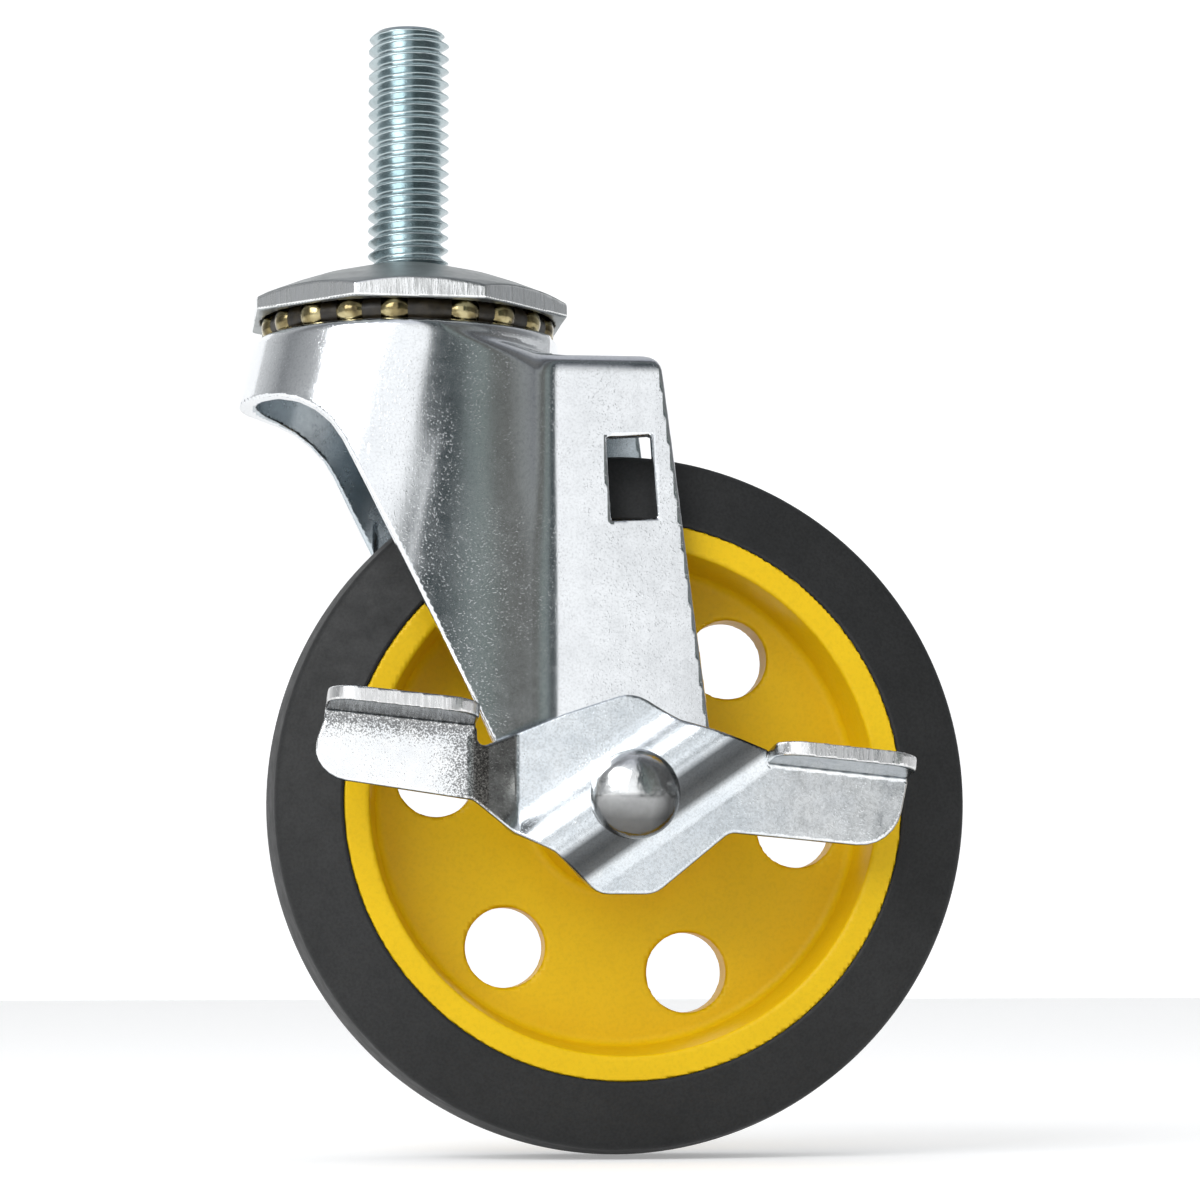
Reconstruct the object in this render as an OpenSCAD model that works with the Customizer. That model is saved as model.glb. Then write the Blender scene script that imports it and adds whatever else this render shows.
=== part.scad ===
// Swivel castor with a threaded stem, a pressed sheet fork, a 100 mm wheel and a rocking pedal brake.
// The origin lies on the stem's axis where the stem leaves the cap. Z points up the stem,
// X points to the side that the wheel trails on, and the brake is on the -Y side.

/* [Stem and cap] */
// Length of the stem above the cap
stem_length = 35; // [20:1:60]
// Diameter of the stem
stem_d = 12; // [8:0.5:12.5]
// Diameter of the bolt's plain neck inside the cap
neck_d = 12.6; // [12.6:0.1:12.9]
// Diameter of the bolt's shoulder that the fork turns on
shoulder_d = 14; // [13:0.5:15]
// How far the flats of the octagonal cap lie inside the fork's widest reach
cap_inset = 0.2; // [0:0.1:0.8]
// Turn of the cap on the stem, in degrees
cap_turn = 1.6; // [0:0.2:45]
// Height of the cap from its rim's lower face to the stem's seat
cap_height = 8.2; // [7.4:0.2:10]
// Thickness of the cap round the stem
cap_wall = 2.8; // [2:0.1:3]

/* [Ball race] */
// Diameter of a ball of the upper row
upper_ball_d = 5.6; // [5:0.1:5.8]
// Radius of the circle of the upper row
upper_row_r = 18.6; // [18.2:0.1:19]
// Number of balls in the upper row
upper_count = 19; // [12:1:19]
// Diameter of a ball of the lower row
lower_ball_d = 4.8; // [4:0.1:5]
// Radius of the circle of the lower row
lower_row_r = 10.5; // [10.3:0.1:10.8]
// Number of balls in the lower row
lower_count = 12; // [8:1:12]

/* [Fork] */
// Thickness of the fork's sheet
sheet = 2.5; // [1.5:0.1:3]
// Outer radius of the crown
crown_r = 22.4; // [22:0.1:24]
// Width over the flat plates of the fork
fork_width = 36; // [35:0.5:40]
// Width over the bulged flanks of the fork
bulge_width = 44.8; // [43:0.2:48]
// Height of the flat deck below the stem's seat
deck_drop = 14.6; // [14:0.2:18]
// Height of the front skirt's hem below the stem's seat
hem_drop = 20.8; // [18:0.2:24]
// Lean of the front skirt, in degrees
skirt_lean = 12.3; // [0:0.1:15]
// Distance of the window's middle from the stem's axis
window_x = 30.6; // [29:0.1:31]
// Height of the window's middle below the stem's seat
window_drop = 32.6; // [30:0.2:45]
// Lean of the window, in degrees
window_lean = 3.7; // [0:0.1:5]
// Width of the window in each plate
window_w = 6.4; // [3:0.1:7]
// Height of the window in each plate
window_h = 11.8; // [5:0.1:16]

/* [Wheel] */
// Diameter of the wheel over its tread
wheel_d = 100.4; // [90:0.5:106]
// Width of the wheel at its rim
wheel_width = 28; // [24:0.5:28]
// Distance from the stem's axis to the wheel's axle
trail = 30; // [26:0.5:34]
// Height of the stem's seat above the wheel's axle
axle_drop = 77.5; // [75:0.5:90]
// Diameter of the yellow hub
hub_d = 78.8; // [74:0.5:82]
// Width of the hub's rim wall
rim_wall = 3.6; // [2.5:0.1:6]
// Thickness of the hub's web
web_thickness = 7; // [3:0.5:12]
// Diameter of the hub's boss
boss_d = 24; // [16:0.5:26]
// How far the boss stands out beyond the rim, on each side
boss_proud = 0.5; // [0:0.1:0.8]
// Number of holes in the web
hole_count = 6; // [3:1:8]
// Diameter of a hole in the web
hole_d = 11.4; // [6:0.2:12]
// Radius of the circle of the holes
hole_row_r = 26.15; // [25:0.1:27]
// Direction of the first hole, in degrees above the X axis
hole_start = 52.17; // [0:0.01:60]
// Width of the tyre's sloped shoulder
shoulder_w = 3.4; // [2:0.2:5]
// How much smaller the wheel is at the tread's edges than at its middle, in radius
tread_crown = 1.3; // [0.5:0.1:2]

/* [Axle] */
// Diameter of the rivet's shank
rivet_d = 8; // [6:0.5:9]
// Diameter of the rivet's domed head
rivet_head_d = 12.4; // [11:0.2:14]
// Height of the rivet's domed head
rivet_head_h = 5.4; // [2:0.2:6]
// Diameter of the hub's bush
bush_d = 12; // [11:0.5:14]
// Diameter of the washer under the rivet's tail
washer_d = 17; // [14:0.5:20]
// Thickness of the washer under the rivet's tail
washer_thickness = 1.5; // [1:0.1:2]
// Diameter of the rivet's formed tail
tail_d = 12.8; // [11:0.2:14]
// Height of the rivet's formed tail
tail_h = 2.6; // [1.5:0.1:4]

/* [Brake lever] */
// Thickness of the lever's sheet
lever_sheet = 2; // [1.5:0.1:2.5]
// Gap that the spring washer fills between the fork's plate and the lever
standoff = 2.8; // [2.8:0.1:3.5]
// Diameter of the spring washer
spring_d = 16; // [12:0.5:18]
// Reach of the left arm from the axle
left_reach = 43.3; // [40:0.1:50]
// Reach of the right arm from the axle
right_reach = 38.6; // [36:0.1:45]
// Height of the left pedal above the axle, at its outer end
left_pedal_z = 14; // [12:0.2:16]
// Height of the right pedal above the axle, at its inner end
right_pedal_z = 7.2; // [6:0.2:8]
// How far the left arm stands out beyond the centre plate
joggle = 3.8; // [3.6:0.1:6]
// Depth of the pedals' flanges, from the face of each arm
pedal_depth = 10; // [5:0.5:20]
// How far the pedals' flanges rise towards their edge, in degrees
pedal_rise = 5; // [0:1:15]
// Fall of each pedal along the lever, in degrees
pedal_tilt = 5.9; // [0:0.1:8]
// Width of the bead across the centre plate
bead_w = 11.2; // [9:0.2:13]
// Height of the bead above the centre plate
bead_h = 3; // [1:0.1:4]
// Direction of the bead, in degrees above the X axis
bead_angle = 34.7; // [20:0.5:50]

/* [Clearances] */
// Gap between a ball and its track
ball_gap = 0.15; // [0.1:0.05:0.3]
// Radial running clearance of a part that turns on a shaft
running_gap = 0.06; // [0.02:0.01:0.1]
// Gap between flat faces that slide past each other
side_gap = 0.3; // [0.1:0.05:0.5]

/* [Hidden] */
$fn = 96;
upper_z = -9.4;
upper_pitch = 18.4;
gap_angle = 20.6;
land_z = -5.6;
land_r = 14;
crown_hole_r = shoulder_d / 2 + 0.6;
cap_flats = 2 * (max(crown_r, bulge_width / 2) - cap_inset);
lip_angle = -29.6;
head_h = 4;
head_r = 9.5;
race_wall = 2.4;
lower_z = land_z - sheet - ball_gap - lower_ball_d / 2;
head_top = lower_z - lower_ball_d / 2 - ball_gap - race_wall;

plate_y = fork_width / 2;
fold_x = 20;
bulge_x = 2;
// The bulge's arc passes through the ridge at bulge_x and the fold at fold_x.
bulge_rise = bulge_width / 2 - plate_y;
bulge_r = (pow(fold_x - bulge_x, 2) + bulge_rise * bulge_rise) / (2 * bulge_rise);
bulge_c = bulge_r - bulge_width / 2;
bend_r = 3.5;
rear_x = 32.8;
rear_lean = 0.129;
front_lean = 0.5;
leg_end_r = 12.4;
skirt_seam = -6;
// The skirt leans about this point of the side view, and starts below the shoulder.
skirt_pivot = [0.5, 0, -11];
shoulder_drop = 12.2;
hem_r = 13;
rear_r = 3;
far = 60;

lever_y = plate_y + standoff;
lever_face = lever_y + lever_sheet;
bead_r = (bead_w * bead_w / 4 + bead_h * bead_h) / (2 * bead_h);
bead_top = lever_face + bead_h;
half_bush = plate_y - sheet - side_gap;
bend = lever_sheet + 0.5;

function two_digits(i) = i < 10 ? str("0", i) : str(i);
function ball_name(row, i) = str(row, "_ball_", two_digits(i));
function unit(v) = v / norm(v);
function on_circle(r, a) = r * [cos(a), sin(a)];
function arc(c, r, a, b, n = 12) = [for (i = [0:n]) c + on_circle(r, a + (b - a) * i / n)];

// One corner of an outline, rounded by the radius in its third value.
function corner(a, p, b) =
    let (u = unit([a[0] - p[0], a[1] - p[1]]), v = unit([b[0] - p[0], b[1] - p[1]]),
         half = acos(max(-1, min(1, u * v))) / 2, c = [p[0], p[1]] + unit(u + v) * p[2] / sin(half),
         from = [p[0], p[1]] + u * p[2] / tan(half), to = [p[0], p[1]] + v * p[2] / tan(half),
         start = atan2(from[1] - c[1], from[0] - c[0]), turn = atan2(to[1] - c[1], to[0] - c[0]) - start,
         sweep = turn > 180 ? turn - 360 : turn < -180 ? turn + 360 : turn)
    p[2] == 0 ? [[p[0], p[1]]] : arc(c, p[2], start, start + sweep, max(3, ceil(abs(sweep) / 10)));
function rounded(pts) =
    [for (i = [0:len(pts) - 1])
        each corner(pts[(i + len(pts) - 1) % len(pts)], pts[i], pts[(i + 1) % len(pts)])];

// Draws a child that stands along Z so that it lies along the wheel's axle.
module on_axle() {
    translate([trail, 0, -axle_drop]) rotate([90, 0, 0]) children();
}

// An outline in X and Z, drawn out along Y from y0 to y1.
module side_slab(y0, y1) {
    translate([0, y1, 0]) rotate([90, 0, 0]) linear_extrude(y1 - y0) children();
}

// Bolt: threaded stem, neck, shoulder and round head, all in one.
module stem_bolt() {
    thread_chamfer = 1;
    head_chamfer = 1.5;
    color("silver") rotate_extrude() polygon([
        [0, stem_length], [stem_d / 2 - thread_chamfer, stem_length],
        [stem_d / 2, stem_length - thread_chamfer], [stem_d / 2, 0], [neck_d / 2, 0],
        [neck_d / 2, -cap_wall], [shoulder_d / 2, -cap_wall], [shoulder_d / 2, head_top],
        [head_r, head_top], [head_r, head_top - head_h + head_chamfer],
        [head_r - head_chamfer, head_top - head_h], [0, head_top - head_h]]);
}

// Cap: pressed from sheet, domed above and tracked below, with its edge sheared to an octagon.
module top_cap() {
    edge_r = cap_flats / 2 / cos(22.5) + 0.5;
    track_r = upper_ball_d / 2 + ball_gap;
    track_c = [upper_row_r, upper_z];
    top = [[neck_d / 2, 0], [9.5, -0.85], [14, -2.05], [18, -3.5], [22.2, -5.25], [edge_r, -6.6]];
    under = concat(arc(track_c, track_r, 24, 128, 16),
        [[13.4, -2 - cap_wall], [11, -1.2 - cap_wall],
         [shoulder_d / 2 + 0.3, -cap_wall], [neck_d / 2, -cap_wall]]);
    color("lightgray") intersection() {
        rotate_extrude() polygon(concat(top, [[edge_r, -cap_height]], [[under[0][0], -cap_height]], under));
        rotate([0, 0, 22.5 + cap_turn])
            translate([0, 0, -cap_height]) cylinder(h = cap_height, d = cap_flats / cos(22.5), $fn = 8);
    }
}

// One ball, placed on its circle by its angle from the front, which is -Y.
module ball(d, row_r, z, angle) {
    rotate([0, 0, angle]) translate([0, -row_r, z]) sphere(d = d, $fn = 32);
}

module upper_ball(i) {
    color("goldenrod") ball(upper_ball_d, upper_row_r, upper_z, gap_angle + upper_pitch * (i - 1));
}

module lower_ball(i) {
    color("goldenrod") ball(lower_ball_d, lower_row_r, lower_z, 360 / lower_count * (i - 1));
}

// Cup washer that carries the lower row on the bolt's head.
module lower_race() {
    track_r = lower_ball_d / 2 + ball_gap;
    rim_r = lower_row_r + 2.2;
    color("gray") rotate_extrude() polygon(concat(
        [[shoulder_d / 2, head_top], [head_r, head_top], [rim_r, head_top + 1.4],
         [rim_r, lower_z - 1.7]],
        arc([lower_row_r, lower_z], track_r, -42, -150, 14),
        [[shoulder_d / 2, lower_z - 1.2]]));
}

// Drawn crown: the land over the lower row, the track of the upper row and the round shoulder.
module crown() {
    track_r = upper_ball_d / 2 + ball_gap;
    track_c = [upper_row_r, upper_z];
    lip = track_c + track_r * [cos(lip_angle), sin(lip_angle)];
    shoulder_r = crown_r - lip[0];
    under_z = upper_z - track_r - sheet;
    rotate_extrude() polygon(concat(
        [[crown_hole_r, land_z], [land_r - 0.8, land_z], [land_r + 0.6, land_z - 0.6]],
        arc(track_c, track_r, 178, 360 + lip_angle, 20),
        arc([lip[0], lip[1] - shoulder_r], shoulder_r, 80, 0, 8),
        [[crown_r, -deck_drop - 1], [crown_r - sheet, -deck_drop - 1], [crown_r - sheet, under_z],
         [land_r + 1.6, under_z], [land_r - 0.8, land_z - sheet - 3], [land_r - 0.8, land_z - sheet - 1.2],
         [land_r - 2, land_z - sheet], [crown_hole_r, land_z - sheet]]));
}

// Solid form of the fork's body below the crown, drawn in by "inset" from its outer faces.
module fork_form(inset) {
    top = -deck_drop - inset;
    half = plate_y - inset;
    round_r = max(bend_r - inset, 0.5);
    // Front skirt and near flanks: a round form that leans forward on its way down.
    intersection() {
        translate(skirt_pivot) rotate([0, skirt_lean, 0])
            translate([0, 0, -2 * far]) cylinder(h = 3 * far, r = crown_r - inset);
        translate([-far, -far, -2 * far])
            cube([far + bulge_x, 2 * far, 2 * far - shoulder_drop - inset]);
    }
    // Bulged flanks: the space common to two wide arcs, with a rounded upper edge.
    intersection() {
        for_side() bulge_disc(inset, top, round_r);
        mirror([0, 1, 0]) for_side() bulge_disc(inset, top, round_r);
        translate([skirt_seam, -far, -2 * far]) cube([fold_x - skirt_seam + 0.2, 2 * far, 2 * far]);
    }
    // Flat plates and deck, bent along both upper edges.
    translate([fold_x - 0.4, 0, 0]) rotate([90, 0, 90])
        linear_extrude(far) polygon(concat(
            [[-half, -2 * far], [half, -2 * far]],
            arc([half - round_r, top - round_r], round_r, 0, 90, 8),
            arc([-half + round_r, top - round_r], round_r, 90, 180, 8)));
}

module for_side() {
    translate([bulge_x, bulge_c, 0]) children();
}

module bulge_disc(inset, top, round_r) {
    disc_r = bulge_r - inset;
    rotate_extrude($fn = 180) polygon(concat(
        [[0, -2 * far], [disc_r, -2 * far]],
        arc([disc_r - round_r, top - round_r], round_r, 0, 90, 8),
        [[0, top]]));
}

// Outline of the fork from the side: hem, front edge, leg end and rear edge.
module fork_outline() {
    axle = [trail, -axle_drop];
    front_low = axle_drop - 2;
    polygon(concat(
        rounded([[-far, 0, 0], [-far, -hem_drop, 0],
            [front_edge(hem_drop), -hem_drop, hem_r],
            [front_edge(front_low), -front_low, 0]]),
        arc(axle, leg_end_r, 205, 358, 18),
        rounded([[rear_edge(axle_drop - 6), -axle_drop + 6, 0],
            [rear_edge(deck_drop), -deck_drop, rear_r],
            [fold_x, -deck_drop, 0], [fold_x, 0, 0]])));
}

function front_edge(depth) = -24 + front_lean * depth;
function rear_edge(depth) = rear_x + rear_lean * depth;

// Fork: crown, skirt, flanks and plates in one sheet.
module fork() {
    color("lightsteelblue") difference() {
        union() {
            crown();
            intersection() {
                difference() {
                    fork_form(0);
                    fork_form(sheet);
                    translate([0, 0, -deck_drop - bend_r]) cylinder(h = far, r = crown_r - sheet);
                }
                side_slab(-far, far) fork_outline();
            }
        }
        on_axle() cylinder(h = 2 * far, d = rivet_d + 2 * running_gap, center = true);
        translate([window_x, 0, -window_drop]) rotate([0, -window_lean, 0])
            cube([window_w, 2 * far, window_h], center = true);
    }
}

// Rivet through the lever, the fork and the bush, closed over a washer on the far side.
module axle_rivet() {
    rim = 0.6;
    dome = rivet_head_h - rim;
    head_y = bead_top + 0.1;
    tail_y = plate_y + washer_thickness;
    color("gainsboro") on_axle() rotate_extrude() polygon(concat(
        [for (i = [0:8]) [tail_d / 2 * sin(i * 90 / 8), -tail_y - tail_h * cos(i * 90 / 8)]],
        [[rivet_d / 2, -tail_y], [rivet_d / 2, head_y]],
        [for (i = [0:10]) [rivet_head_d / 2 * cos(i * 9), head_y + rim + dome * sin(i * 9)]]));
}

// Flat ring on the rivet's shank, from y0 to y1 along the axle.
module ring_on_rivet(d, y0, y1) {
    on_axle() translate([0, 0, y0]) difference() {
        cylinder(h = y1 - y0, d = d);
        translate([0, 0, -far]) cylinder(h = 2 * far, d = rivet_d + 2 * running_gap);
    }
}

module tail_washer() {
    color("gainsboro") ring_on_rivet(washer_d, -plate_y - washer_thickness, -plate_y);
}

// Washer that holds the lever clear of the fork's bulged flank.
module spring_washer() {
    color("gainsboro") ring_on_rivet(spring_d, plate_y, lever_y - side_gap);
}

// Outline of the lever from the side, about the axle: left arm, centre plate with its two lobes, right arm.
module lever_outline() {
    polygon(rounded([
        [-left_reach, left_pedal_z - 0.6, 0], [-left_reach + 0.3, 2.2, 6], [-22.2, -0.9, 2],
        [-16.3, -5.3, 1], [-11, -7.8, 3], [-4.6, -13.6, 3.5], [3.2, -13.6, 4], [13.6, -5.1, 2],
        [right_reach - 2, -7.3, 6], [right_reach, right_pedal_z - 1.2, 0],
        [18.4, right_pedal_z - 0.8, 1], [11.2, 9, 3], [6.7, 10.4, 4], [0.2, 14.4, 5],
        [-9.2, 11.3, 4], [-21.6, 6.2, 2], [-21.6, left_pedal_z - 2.2, 0]]));
}

// Plan of the lever's sheet in X and Y: flat centre plate and right arm, then the joggle to the left arm.
module lever_plan() {
    in = -lever_y;
    out = -lever_face;
    polygon([[-far, in - joggle], [-21.8, in - joggle], [-15.6, in], [far, in],
             [far, out], [-15.9, out], [-22.4, out - joggle], [-far, out - joggle]]);
}

// Flange of a pedal, bent out of the upper edge of an arm.
// It runs from x0 to x1 at height z, and y is the outer face of its arm.
module pedal(x0, x1, z, y) {
    t = lever_sheet;
    corner_r = 4.5;
    turn = 90 - pedal_rise;
    c = [t - bend, -bend];
    slope = [-sin(turn), cos(turn)];
    reach = (pedal_depth + c[0]) / sin(turn);
    upper = arc(c, bend, 0, turn, 6);
    lower = arc(c, bend - t, turn, 0, 4);
    translate([x0, -y, z]) rotate([0, pedal_tilt, 0]) intersection() {
        rotate([90, 0, 90]) linear_extrude(x1 - x0) polygon(concat(
            upper, [upper[6] + reach * slope, lower[0] + reach * slope], lower,
            [[0, -bend - 1], [t, -bend - 1]]));
        translate([0, 0, -2 * bend]) linear_extrude(4 * bend) polygon(rounded([
            [0, -pedal_depth, corner_r], [x1 - x0, -pedal_depth, corner_r],
            [x1 - x0, t + 1, 0], [0, t + 1, 0]]));
    }
}

// Brake lever: one pressed sheet that rocks on the rivet.
module brake_lever() {
    bead_axis = [cos(bead_angle), 0, sin(bead_angle)];
    color("slategray") translate([trail, 0, -axle_drop]) difference() {
        union() {
            intersection() {
                side_slab(-far, far) lever_outline();
                union() {
                    translate([0, 0, -far]) linear_extrude(2 * far) lever_plan();
                    intersection() {
                        bead(bead_r);
                        translate([-far, -far - lever_y, -far]) cube([2 * far, far, 2 * far]);
                    }
                }
            }
            pedal(-left_reach + 1.1, -21.6, left_pedal_z, lever_face + joggle);
            pedal(19, right_reach + 0.2, right_pedal_z, lever_face);
        }
        bead(bead_r - lever_sheet);
        rotate([90, 0, 0]) cylinder(h = 2 * far, d = rivet_d + 2 * running_gap, center = true);
    }
}

module bead(r) {
    translate([0, -bead_top + bead_r, 0]) rotate([0, 90 - bead_angle, 0])
        cylinder(h = far, r = r, center = true);
}

// Hub: boss, web with six holes and a tall rim, moulded in one.
module hub() {
    half = wheel_width / 2;
    web = web_thickness / 2;
    rim_in = hub_d / 2 - rim_wall;
    boss = half + boss_proud;
    side = concat(
        [[bush_d / 2, boss], [boss_d / 2 - 1, boss]],
        [[boss_d / 2, boss - 1]],
        arc([boss_d / 2 + 2, web + 1.5], 1.5, 180, 270, 4),
        arc([rim_in - 3, web + 1.5], 1.5, 270, 350, 4),
        [[rim_in - 0.2, half - 0.5], [rim_in + 0.3, half], [hub_d / 2, half]]);
    color("gold") on_axle() difference() {
        rotate_extrude() polygon(concat(side, [for (i = [len(side) - 1:-1:0]) [side[i][0], -side[i][1]]]));
        for (i = [0:hole_count - 1]) rotate([0, 0, hole_start + 360 / hole_count * i])
            translate([hole_row_r, 0, 0]) cylinder(h = 2 * half, d = hole_d, center = true);
    }
}

// Tyre: moulded round the hub, with sloped shoulders and a slightly crowned tread.
module tyre() {
    half = wheel_width / 2;
    r = wheel_d / 2;
    edge_r = r - tread_crown;
    edge_y = half - shoulder_w;
    round_r = 1.6;
    land = hub_d / 2 + 0.6;
    side = rounded([[hub_d / 2, half, 0], [land, half, 0], [edge_r, edge_y, round_r], [r, 0, 0],
                    [edge_r, -edge_y, round_r], [land, -half, 0], [hub_d / 2, -half, 0]]);
    color("dimgray") on_axle() rotate_extrude($fn = 144) polygon(side);
}

module hub_bush() {
    color("silver") on_axle() difference() {
        cylinder(h = 2 * half_bush, d = bush_d, center = true);
        cylinder(h = 2 * far, d = rivet_d + 2 * running_gap, center = true);
    }
}

stem_bolt();
top_cap();
lower_race();
fork();
axle_rivet();
tail_washer();
spring_washer();
brake_lever();
hub();
tyre();
hub_bush();
for (i = [1:upper_count]) upper_ball(i);
for (i = [1:lower_count]) lower_ball(i);
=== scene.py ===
"""Looks of the braked castor: zinc-plated sheet, a rolled thread, greased balls and a moulded wheel."""
import math

import bmesh
import bpy
import numpy as np
from mathutils import Matrix, Vector


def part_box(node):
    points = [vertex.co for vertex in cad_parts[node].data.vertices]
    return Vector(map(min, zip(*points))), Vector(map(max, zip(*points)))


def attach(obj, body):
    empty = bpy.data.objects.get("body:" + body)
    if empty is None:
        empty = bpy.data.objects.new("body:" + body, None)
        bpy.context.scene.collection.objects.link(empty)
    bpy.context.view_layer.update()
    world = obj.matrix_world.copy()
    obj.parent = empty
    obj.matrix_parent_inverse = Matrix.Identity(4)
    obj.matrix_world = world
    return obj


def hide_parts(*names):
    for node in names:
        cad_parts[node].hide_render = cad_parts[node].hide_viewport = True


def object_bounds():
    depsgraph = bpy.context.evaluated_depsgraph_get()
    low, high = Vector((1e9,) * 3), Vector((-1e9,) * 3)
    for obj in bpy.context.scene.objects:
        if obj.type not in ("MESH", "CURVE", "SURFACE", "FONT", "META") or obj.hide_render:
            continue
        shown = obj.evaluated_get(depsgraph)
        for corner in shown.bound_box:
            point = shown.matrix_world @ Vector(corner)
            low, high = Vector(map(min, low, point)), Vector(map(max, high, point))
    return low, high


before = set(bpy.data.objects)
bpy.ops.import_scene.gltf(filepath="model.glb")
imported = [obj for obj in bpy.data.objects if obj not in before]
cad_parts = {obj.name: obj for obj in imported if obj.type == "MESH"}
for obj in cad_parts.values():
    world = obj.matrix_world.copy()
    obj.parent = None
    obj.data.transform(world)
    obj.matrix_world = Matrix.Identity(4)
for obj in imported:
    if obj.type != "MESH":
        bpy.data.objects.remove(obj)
cad_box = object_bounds()

MM = 0.001

# Stem and bolt, in millimetres, as all sizes below
STEM_R = 6.0
STEM_LENGTH = 35.0
THREAD_R = STEM_R - 0.1
THREAD_PITCH = 1.9
THREAD_DEPTH = 1.15
NECK_R = 6.3
SHOULDER_R = 7.0
HEAD_R = 9.5
HEAD_HEIGHT = 4.0

# Cap and balls
CAP_APOTHEM = 22.2
CAP_HEIGHT = 8.2
CAP_TURN = math.radians(1.6)
CAP_WALL = 2.8
UPPER_R = 18.6
UPPER_Z = -9.4
UPPER_TRACK = 2.95
GREASE_R = 2.1

# Fork; the bulge's ridge moves from BULGE_X to BULGE_LOW_X below RIDGE_Z, and a little towards the
# plates above it
SHEET = 2.5
CROWN_R = 22.4
PLATE_Y = 18.0
BULGE_X = 0.4
BULGE_LOW_X = -4.5
RIDGE_Z = -27.0
BULGE_Y = 22.2
FOLD_X = 20.0
BULGE_END = 18.4
SKIRT_SEAM = -6.0
SKIRT_R = CROWN_R - 0.15
SKIRT_X = 0.5
SKIRT_TOP_Z = -11.0
DECK_Z = -14.6
SHOULDER_Z = -11.6
HEM_Z = -20.8
SKIRT_LEAN = math.radians(12.3)
AXLE = (30.0, -77.5)
LEG_END_R = 12.4
BEND_R = 3.5
WINDOW = (30.6, -32.6)
WINDOW_HALF = (3.2, 5.9)
WINDOW_LEAN = math.radians(3.7)
RIVET_R = 4.0
BORE_R = RIVET_R + 0.06
DOME_R = 6.2
DOME_HEIGHT = 4.8
DOME_RIM = 0.6
TAIL_R = 6.4
TAIL_HEIGHT = 2.6

# Brake lever, with x and z from the axle; the bead's painted shade and highlight are given by millimetres
# across it
LEVER_Y = 20.8
LEVER_SHEET = 2.0
LEVER_BEND = 2.5
JOGGLE = 3.8
BEAD_W = 11.2
BEAD_H = 3.0
BEAD_ANGLE = math.radians(34.7)
BEAD_PAINTED_SHADE = ((-6.2, 1.0), (-5.3, 0.24), (-3.6, 0.13), (-1.7, 0.16), (-0.7, 0.85), (0.5, 1.0), (1.8, 0.72),
               (4.6, 0.55), (5.5, 0.85), (6.2, 1.0))
BEAD_SPAN = 14.0
PEDAL_TILT = math.radians(5.9)
PEDAL_RISE = 5.0
PEDAL_DEPTH = 10.0
LEFT_PEDAL = (-42.2, -21.6)
LEFT_PEDAL_Z = 13.4
RIGHT_PEDAL = (19.0, 38.8)
RIGHT_PEDAL_Z = 6.5

# Wheel
HUB_R = 39.4
WHEEL_R = 50.2
WHEEL_HALF = 14.0
BUSH_R = 6.0
BOSS_R = 12.0
WEB_HALF = 3.5
HOLE_R = 5.7
HOLE_ROW_R = 26.15
HOLE_START = 52.17

# Camera fitted to the photograph: place in millimetres, yaw, pitch and roll in degrees, the rest in pixels
CAMERA = (-26.53, -516.43, -103.59)
CAMERA_TURN = (6.025, 6.109, -0.109)
FOCAL = 3604.8
IMAGE = 1200


# Fields: signed distances in millimetres, below zero inside the piece

def soft_min(a, b, k):
    """Union of two fields with a fillet about k wide."""
    h = np.clip(0.5 + 0.5 * (b - a) / k, 0, 1)
    return b * (1 - h) + a * h - k * h * (1 - h)


def round_max(a, b, r):
    """Common part of two fields with its edge rounded to radius r."""
    u = np.maximum(a + r, 0)
    v = np.maximum(b + r, 0)
    return np.minimum(-r, np.maximum(a, b)) + np.sqrt(u * u + v * v)


def polygon_field(points, u, v):
    """Signed distance to a closed outline in the plane of u and v."""
    best = None
    sign = None
    for i, a in enumerate(points):
        b = points[i - 1]
        e0, e1 = b[0] - a[0], b[1] - a[1]
        w0, w1 = u - a[0], v - a[1]
        t = np.clip((w0 * e0 + w1 * e1) / (e0 * e0 + e1 * e1), 0, 1)
        d = (w0 - e0 * t) ** 2 + (w1 - e1 * t) ** 2
        best = d if best is None else np.minimum(best, d)
        c1, c2, c3 = v >= a[1], v < b[1], e0 * w1 > e1 * w0
        flip = (c1 & c2 & c3) | (~c1 & ~c2 & ~c3)
        turn = np.where(flip, -1.0, 1.0)
        sign = turn if sign is None else sign * turn
    return sign * np.sqrt(best)


def arc(cx, cy, r, start, end, count):
    """Points on an arc, with angles in degrees."""
    return [(cx + r * math.cos(math.radians(a)), cy + r * math.sin(math.radians(a)))
            for a in np.linspace(start, end, count + 1)]


def rounded(corners, step=12):
    """Outline whose corners (x, y, radius) are turned into arcs, with a point about every step degrees."""
    points = []
    for i, (x, y, r) in enumerate(corners):
        if r == 0:
            points.append((x, y))
            continue
        a = Vector(corners[i - 1][:2]) - Vector((x, y))
        b = Vector(corners[(i + 1) % len(corners)][:2]) - Vector((x, y))
        a.normalize()
        b.normalize()
        half = a.angle(b) / 2
        centre = Vector((x, y)) + (a + b).normalized() * (r / math.sin(half))
        first = Vector((x, y)) + a * (r / math.tan(half)) - centre
        last = Vector((x, y)) + b * (r / math.tan(half)) - centre
        start = math.atan2(first.y, first.x)
        turn = math.atan2(last.y, last.x) - start
        turn = (turn + math.pi) % (2 * math.pi) - math.pi
        count = max(3, int(abs(math.degrees(turn)) / step))
        points += [(centre.x + r * math.cos(start + turn * n / count),
                    centre.y + r * math.sin(start + turn * n / count)) for n in range(count + 1)]
    return points


def front_edge(depth):
    """The leg's slanted front edge, by its depth below the origin."""
    return -24.0 + 0.5 * depth


def rear_edge(depth):
    """The plate's rear edge, by its depth below the origin."""
    return 32.8 + 0.129 * depth


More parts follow.
